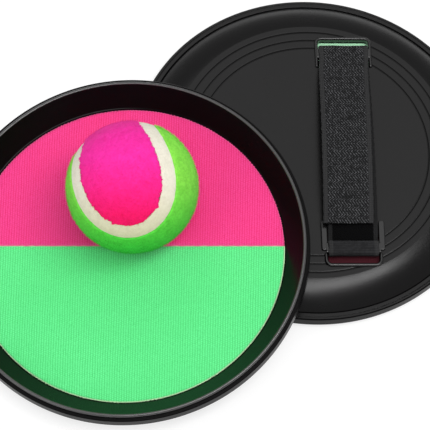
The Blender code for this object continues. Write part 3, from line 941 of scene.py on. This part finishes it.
def ribbon(name, group, route, width, thick, fray=0.0):
    # A flat band along a route of (y, height, drift). The section's perimeter is unrolled as the
    # first flat coordinate and the distance along the route as the second.
    s = strap
    half, tall = width / 2, thick / 2
    section = ribbonSection(width, thick)
    line, run = evenly(route, s["spacing"])
    along = np.gradient(line[:, :2], axis=0)
    along /= np.linalg.norm(along, axis=1)[:, None]
    up = np.stack((-along[:, 1], along[:, 0]), axis=1)
    side = np.where(section[:, 1] > 0, section[:, 0], -section[:, 0]) + half
    spots = np.stack(np.broadcast_arrays(run[:, None], section[None, :, 0]), axis=-1)
    rise = section[None, :, 1] + lumps(spots, s["lift"])
    x = np.broadcast_to(section[None, :, 0], rise.shape)
    x = x + lumps(run[:, None], s["wander"])[:, None] * np.sign(x) * (np.abs(x) > half - tall)
    x = x + line[:, None, 2]
    y = line[:, None, 0] + up[:, None, 0] * rise
    z = -(line[:, None, 1] + up[:, None, 1] * rise)
    if fray:
        teeth = softNoise(section[:, :1], s["fray"]["wavelength"], s["fray"]["seed"])
        y[-1] += fray * teeth * along[-1, 0]
    points = np.stack((x + s["offset"], y, z), axis=-1).reshape(-1, 3)
    uv = np.stack(np.broadcast_arrays(side[None], run[:, None]), axis=-1).reshape(-1, 2)
    mesh = makeMesh(name, onto(points, group), tube(points, len(section)), uv / strapLooks["uvSize"])
    pointValues(mesh, "innerFace", np.tile(section[:, 1] > 0.3 * tall, len(line)))
    return makeObject(name, tidyMesh(mesh, sharp=60, merge=1e-8)), round(float(run[-1]), 4)


def makeStrap(group):
    # The webbing along its route, and the hook tape that lies between its two layers.
    name = group + "_strap"
    route, lower = strapRoute(strap["gap"][group])
    size = (strap["width"], strap["thick"])
    band, length = ribbon(name + "_looks", group, route, *size, strap["fray"]["size"])
    band.data.materials.append(strapWebbing)
    settle(band, name)
    start = -strap["windowStart"] + hook["setback"]
    places = np.linspace(start, start + hook["length"], hook["steps"])
    heights = np.interp(places, lower[:, 0], lower[:, 1]) + strap["layer"] / 2
    line = np.column_stack((places, heights, 0 * places))
    tape, reach = ribbon(name + "_hook_looks", group, line, hook["width"], hook["thick"])
    tape.data.materials.append(tapeFinish)
    settle(tape, name + "_hook")
    print("stage:", band.name, round(length * 1000, 1), "mm of webbing")


# Ball

ballLooks = {  # tufts and painted shade between them, first lit on the far upper side, then in painted shade on the near lower side
    "pink": ((1.0, 0.038, 0.44), (0.88, 0.018, 0.31), (1.0, 0.012, 0.17), (0.88, 0.005, 0.11)),
    "green": ((0.32, 0.90, 0.10), (0.18, 0.66, 0.052), (0.045, 0.76, 0.065), (0.025, 0.56, 0.032)),
    "white": ((0.90, 0.86, 0.73), (0.75, 0.71, 0.58), (0.77, 0.75, 0.49), (0.64, 0.62, 0.38)),
    "levels": {"pink": (0.0, 0.028), "green": (-0.018, 0.016), "white": (-0.012, 0.016)},
    "slope": (0.90, 0.44),
    "tuftNoise": (900, 4, 0.65),
    "tuftShare": 0.6,
    "clumpNoise": (260, 3, 0.6),
    "clumpShare": 0.4,
    "tuftRange": (0.33, 0.60, 0.15, 1),
    "relief": (0.0005, 0.6),
    "sockets": {"Roughness": 0.92, "Specular IOR Level": 0.12, "Sheen Weight": 0.06, "Sheen Roughness": 0.45},
}

ball = {
    "radius": 0.0320,
    "felt": 0.0030,
    "bandHalf": 0.0042,
    "seamShare": 0.25,
    "fit": 0.0003,
    "steps": 300,
    "rows": 110,
    "rowShare": 0.4,  # how far the rows crowd towards the panel's edges
    "bandSunk": 0.00025,
    "bandRound": 0.0001,
    "edgeRound": 0.00035,
    "edgeWidth": 0.0009,
    "ragged": {"pink": 0.00060, "green": 0.00010},
    "raggedFrom": 0.12,  # radians from the panel's ends
    "panelLumps": ((0.00003, 0.004, 61), (0.00004, 0.0012, 62)),
    "bandLumps": (0.00004, 0.003, 63),
    "coreGap": 0.0007,
    "coreWall": 0.0035,
    "coreSteps": 40,
    "coreAround": 96,
    "coreColours": ((0.02, 0.02, 0.02), (0.045, 0.044, 0.043)),
}

fuzz = {
    "pink": {"count": 18000, "long": 0.00110, "seed": 41},
    "green": {"count": 18000, "long": 0.00125, "seed": 42},
    "white": {"count": 3500, "long": 0.00045, "seed": 43},
    "placeSeed": 100,  # more than the hairs' own seed
    "thick": 0.00007,
    "sunk": 0.0002,
    "upright": (0.25, 1.0),
    "aside": (0.2, 1.1),
    "length": (0.5, 1.1),
}

feltSheets = {  # each piece laid flat: its size and its area
    "pink": ((0.062, 0.112), 0.00505),
    "green": ((0.062, 0.112), 0.00505),
    "white": ((0.01, 0.325), 0.00264),
}


def feltFinish(colour):
    # Pressed wool: fine tufts at two scales with painted shade between them, under a soft sheen. The far
    # upper side is painted lit and the near lower side painted in shade: the lit share grows with 0.90 y +
    # 0.44 z.
    w = ballLooks
    body, shadeBetween, shadedSideBody, shadedSideBetween = w[colour]
    made, tree, shader = newMaterial(colour + " felt")
    place = objectPlace(tree)
    tufts = times(tree, noiseOf(tree, place, *w["tuftNoise"]), w["tuftShare"])
    clumps = times(tree, noiseOf(tree, place, *w["clumpNoise"]), w["clumpShare"])
    height = plus(tree, tufts, clumps)
    share = ranged(tree, height, *w["tuftRange"])
    parts = node(tree, "ShaderNodeSeparateXYZ")
    tree.links.new(place, parts.inputs[0])
    back, up = (times(tree, parts.outputs[axis], slope) for axis, slope in zip("YZ", w["slope"]))
    # painted light and shade: the lit colours take over towards the far upper side
    high = ranged(tree, plus(tree, back, up), *w["levels"][colour], 0, 1)
    low, top = mixColour(tree, share, shadedSideBetween, shadedSideBody), mixColour(tree, share, shadeBetween, body)
    tree.links.new(mixColour(tree, high, low, top), shader.inputs["Base Color"])
    setSockets(shader, w["sockets"])
    bumpFrom(tree, shader, height, *w["relief"])
    return made


felt = {name: feltFinish(name) for name in feltSheets}


def seamLine(turn):
    # The ball's seam on the unit sphere, (l cos t + s cos 3t, l sin t - s sin 3t, 2 sqrt(l s) sin 2t),
    # and its sideways direction, into the panel round the +z pole.
    short = ball["seamShare"]
    long = 1 - short
    tall = 2 * math.sqrt(long * short)
    place = np.stack((long * np.cos(turn) + short * np.cos(3 * turn),
                      long * np.sin(turn) - short * np.sin(3 * turn),
                      tall * np.sin(2 * turn)), axis=-1)
    along = np.stack((-long * np.sin(turn) - 3 * short * np.sin(3 * turn),
                      long * np.cos(turn) - 3 * short * np.cos(3 * turn),
                      2 * tall * np.cos(2 * turn)), axis=-1)
    along /= np.linalg.norm(along, axis=-1, keepdims=True)
    return place, np.cross(place, along)


def besideSeam(turn, angle):
    # The seam's place turned sideways: place * cos(angle) + sideways * sin(angle).
    place, sideways = seamLine(turn)
    angle = np.asarray(angle)[..., None]
    return place * np.cos(angle) + sideways * np.sin(angle)


def feltBody(directions, outer, closedRound, colour, nodeName):
    # Unit directions given an outer radius and a flat underside at the core: a closed thick sheet.
    rows, columns = directions.shape[:2]
    under = directions[:, [-1, 0]] * (ball["radius"] - ball["felt"])
    grid = np.concatenate((directions * outer[..., None], under), axis=1)
    faces = gridFaces(rows, columns + 2, wrapRows=closedRound, wrapColumns=True)
    mesh = makeMesh(nodeName + "_looks", onto(grid.reshape(-1, 3), "ball"), [faces])
    tidyMesh(mesh, sharp=80, merge=1e-7)
    mesh.materials.append(felt[colour])
    return settle(makeObject(nodeName + "_looks", mesh), nodeName)


def fromGrid(directions, outer, count, seed):
    # Points chosen over a grid by area, with their unit directions.
    pick = np.random.default_rng(seed)
    spots = directions * outer[..., None]
    one, two = spots[1:, :-1] - spots[:-1, :-1], spots[:-1, 1:] - spots[:-1, :-1]
    size = np.linalg.norm(np.cross(one, two), axis=-1).ravel()
    chosen = pick.choice(len(size), count, p=size / size.sum())
    i, k = np.divmod(chosen, directions.shape[1] - 1)
    a, b = pick.uniform(size=(2, count, 1))
    roots = spots[i, k] + one[i, k] * a + two[i, k] * b
    return roots, roots / np.linalg.norm(roots, axis=1, keepdims=True)


def makeFibres(directions, outer, colour):
    # Short tapered hairs, each a thin three-sided spike: root +- across, tip = root + way * length.
    f = fuzz[colour]
    roots, ways = fromGrid(directions, outer, f["count"], f["seed"] + fuzz["placeSeed"])
    pick = np.random.default_rng(f["seed"])
    count = len(roots)
    lean = pick.normal(size=(count, 3))
    lean -= (lean * ways).sum(1, keepdims=True) * ways
    lean /= np.linalg.norm(lean, axis=1, keepdims=True)
    upright, aside, length = (pick.uniform(*fuzz[key], (count, 1)) for key in ("upright", "aside", "length"))
    tips = roots + (ways * upright + lean * aside) * f["long"] * length
    cross = np.cross(ways, lean)
    base = [roots - ways * fuzz["sunk"] + fuzz["thick"] * (lean * math.cos(a) + cross * math.sin(a))
            for a in (0, 2.1, 4.2)]
    points = np.stack((*base, tips), axis=1).reshape(-1, 3)
    first = 4 * np.arange(count)[:, None]
    faces = np.concatenate([first + np.array(face) for face in ((0, 1, 3), (1, 2, 3), (2, 0, 3), (0, 2, 1))])
    mesh = makeMesh(f"ball_{colour}_fuzz", onto(points, "ball"), [faces])
    mesh.shade_smooth()
    mesh.materials.append(felt[colour])
    made = makeObject(f"ball_{colour}_fuzz", mesh)
    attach(made, "root")
    return made


def teethAlong(line):
    # Uneven teeth of a cut edge: large ones, and small ones that only point one way.
    return softNoise(line, 0.0022, 51) * 0.6 + np.abs(softNoise(line, 0.0009, 52)) * 0.7 - 0.3


def flipped(points):
    # The seam's own symmetry: (x, y, z) becomes (-y, -x, z).
    return points[:, [1, 0, 2]] * (-1, -1, 1)


def makePanel(colour):
    # Arcs across the panel between mirrored places of the seam, with a ragged or trimmed edge:
    # (sin((1 - s) a) * edge + sin(s a) * mirror) / sin(a), where a is the angle between the two.
    b = ball
    first, last = -math.pi / 4, 3 * math.pi / 4
    turns = np.linspace(first, last, b["steps"])
    angle = (b["bandHalf"] + b["fit"] / 2) / b["radius"]
    line = seamLine(turns)[0] * b["radius"]
    ends = np.clip(np.minimum(turns - first, last - turns) / b["raggedFrom"], 0, 1)
    ragged = b["ragged"][colour] / b["radius"] * ends
    edge = besideSeam(turns, angle - ragged * teethAlong(line))
    mirror = flipped(besideSeam(turns, angle - ragged * teethAlong(flipped(line))))
    spread = np.maximum(np.arccos(np.clip((edge * mirror).sum(1), -1, 1)), 1e-6)[:, None, None]
    even = np.linspace(0, 1, b["rows"])
    crowded = (1 - np.cos(even * math.pi)) / 2
    share = (b["rowShare"] * crowded + (1 - b["rowShare"]) * even)[None, :, None]
    grid = np.sin((1 - share) * spread) * edge[:, None] + np.sin(share * spread) * mirror[:, None]
    grid /= np.linalg.norm(grid, axis=-1, keepdims=True)
    if colour == "green":
        grid = grid * (1, -1, -1)
    inward = np.minimum(share, 1 - share)[..., 0] * spread[..., 0] * b["radius"]
    fall = 1 - ease(inward / b["edgeWidth"])
    outer = b["radius"] - b["edgeRound"] * fall + lumps(grid * b["radius"], *b["panelLumps"])
    made = feltBody(grid, outer, False, colour, f"ball_{colour}_felt")
    return made, makeFibres(grid, outer, colour)


def makeBand():
    # The band along the seam: the seam's places turned sideways by shares of its half width.
    b = ball
    turns = np.linspace(0, 2 * math.pi, 2 * b["steps"], endpoint=False)
    angle = (b["bandHalf"] - b["fit"] / 2) / b["radius"]
    across = np.linspace(1, -1, 15)
    grid = np.stack([besideSeam(turns, np.full(len(turns), angle * a)) for a in across], axis=1)
    outer = b["radius"] - b["bandSunk"] - b["bandRound"] * np.abs(across)[None, :] ** 4
    outer = outer + lumps(grid * b["radius"], b["bandLumps"])
    made = feltBody(grid, outer, True, "white", "ball_white_band")
    return made, makeFibres(grid, outer, "white")


def coreRubber():
    # Dark moulded rubber with fine pale specks.
    made, tree, shader = newMaterial("core rubber")
    speck = noiseOf(tree, objectPlace(tree), 1200, 3, 0.6)
    tree.links.new(mixColour(tree, speck, *ball["coreColours"]), shader.inputs["Base Color"])
    setSockets(shader, {"Roughness": 0.75})
    bumpFrom(tree, shader, speck, 0.0001)
    return made


def makeCore(half, side, finish):
    # Half a hollow ball: a closed ring section turned about z, above the middle or below it.
    b = ball
    outer = b["radius"] - b["felt"] - b["coreGap"]
    inner = outer - b["coreWall"]
    rise = b["fit"] / 2
    out = outer * unitArc(math.asin(rise / outer), math.pi / 2, b["coreSteps"])
    back = inner * unitArc(math.pi / 2, math.asin(rise / inner), b["coreSteps"])
    points, faces = turned(np.concatenate((out, back, out[:1])), b["coreAround"])
    name = "ball_core_" + half
    mesh = makeMesh(name + "_looks", onto(points * (1, 1, side), "ball"), [faces])
    tidyMesh(mesh, sharp=40).materials.append(finish)
    settle(makeObject(name + "_looks", mesh), name)


# Making it all

for group in ("back", "front"):
    makeShell(group)
makePad("front", "pink", True, pad["split"])
makePad("front", "green", False, pad["split"])
makePad("back", "green", True, -pad["split"])
makePad("back", "pink", False, -pad["split"])
for group in ("back", "front"):
    makeStrap(group)

feltPieces = [makePanel("pink"), makePanel("green"), makeBand()]
rubber = coreRubber()
makeCore("upper", 1, rubber)
makeCore("lower", -1, rubber)
print("stage: ball made")

# Camera, floor and light

cameraView = {
    "spot": (-0.12212674, -0.77694378, 1.5696282),
    "right": (0.998, 0.0146, 0.0612),
    "up": (-0.0403, 0.8952, 0.4438),
    "forward": (0.0483, 0.4454, -0.894),
    "turn": -2.6,  # degrees about the upright
    "lens": 294.08,
    "sensor": 36,
    "clip": (0.05, 20),
}


def setCamera():
    # The view's three directions, turned a little about the upright.
    v = cameraView
    turn = np.array(Matrix.Rotation(math.radians(v["turn"]), 3, "Z"))
    right, up, forward = (turn @ np.array(v[k]) for k in ("right", "up", "forward"))
    data = bpy.data.cameras.new("photo_camera")
    data.sensor_width, data.lens = v["sensor"], v["lens"]
    data.clip_start, data.clip_end = v["clip"]
    eye = makeObject("photo_camera", data)
    rows = [[right[i], up[i], -forward[i], v["spot"][i]] for i in range(3)]
    eye.matrix_world = Matrix(rows + [[0, 0, 0, 1]])
    bpy.context.scene.camera = eye


setCamera()

floorLooks = {
    "size": 60.0,
    "drop": 0.0002,
    "colour": (0.80, 0.80, 0.80),
    "cameraColour": (0.34, 0.34, 0.34),
    "glow": 0.72,
}


def seenDirectly(tree):
    # 1 for rays from the camera, a reflection or a see-through surface.
    rays = node(tree, "ShaderNodeLightPath").outputs
    either = mathNode(tree, "ADD", rays["Is Camera Ray"], rays["Is Glossy Ray"], clamp=True)
    return mathNode(tree, "ADD", either, rays["Is Transmission Ray"], clamp=True)


def makeFloor():
    # A flat square that glows white for seenDirectly's rays and lights the object as a pale floor.
    corners = np.array(((-1, -1, 0), (1, -1, 0), (1, 1, 0), (-1, 1, 0))) * floorLooks["size"] / 2
    mesh = makeMesh("floor", corners - (0, 0, floorLooks["drop"]), [np.array([[0, 1, 2, 3]])])
    finish, tree, shader = newMaterial("pale floor")
    setSockets(shader, {"Base Color": (*floorLooks["colour"], 1), "Roughness": 0.9,
                        "Specular IOR Level": 0.0})
    seen = node(tree, "ShaderNodeBsdfDiffuse")
    setSockets(seen, {"Color": (*floorLooks["cameraColour"], 1)})
    glow = node(tree, "ShaderNodeEmission")
    setSockets(glow, {"Strength": floorLooks["glow"]})
    both = node(tree, "ShaderNodeAddShader")
    feed(tree, both.inputs, (seen.outputs[0], glow.outputs[0]))
    mix = node(tree, "ShaderNodeMixShader")
    feed(tree, mix.inputs, (seenDirectly(tree), shader.outputs[0], both.outputs[0]))
    tree.links.new(mix.outputs[0], tree.nodes["Material Output"].inputs["Surface"])
    mesh.materials.append(finish)
    makeObject("floor", mesh)


makeFloor()

lights = {  # place, width, depth and power, all aimed at the middle of the set
    "key": ((0.18, -0.30, 1.28), 1.10, 0.34, 9.2),
    "canopy": ((0.0, 0.55, 1.70), 1.80, 1.80, 8.0),
    "fill": ((-1.10, -0.90, 1.00), 0.80, 0.80, 5.0),
}
lightTarget = (0, 0, 0.02)
studio = 0.37  # brightness of the room all round


def setLights():
    # Three area lamps and an even room.
    for name, (spot, width, depth, power) in lights.items():
        data = bpy.data.lights.new(name, "AREA")
        data.shape, data.size, data.size_y, data.energy = "RECTANGLE", width, depth, power
        lamp = makeObject(name, data)
        lamp.location = spot
        lamp.rotation_euler = (Vector(lightTarget) - Vector(spot)).to_track_quat("-Z", "Y").to_euler()
    world = bpy.data.worlds.new("studio")
    bpy.context.scene.world = world
    world.use_nodes = True
    setSockets(world.node_tree.nodes["Background"], {"Color": (1, 1, 1, 1), "Strength": studio})

setLights()
bpy.context.scene.view_settings.view_transform = "Standard"
print("stage: camera, floor and light set")
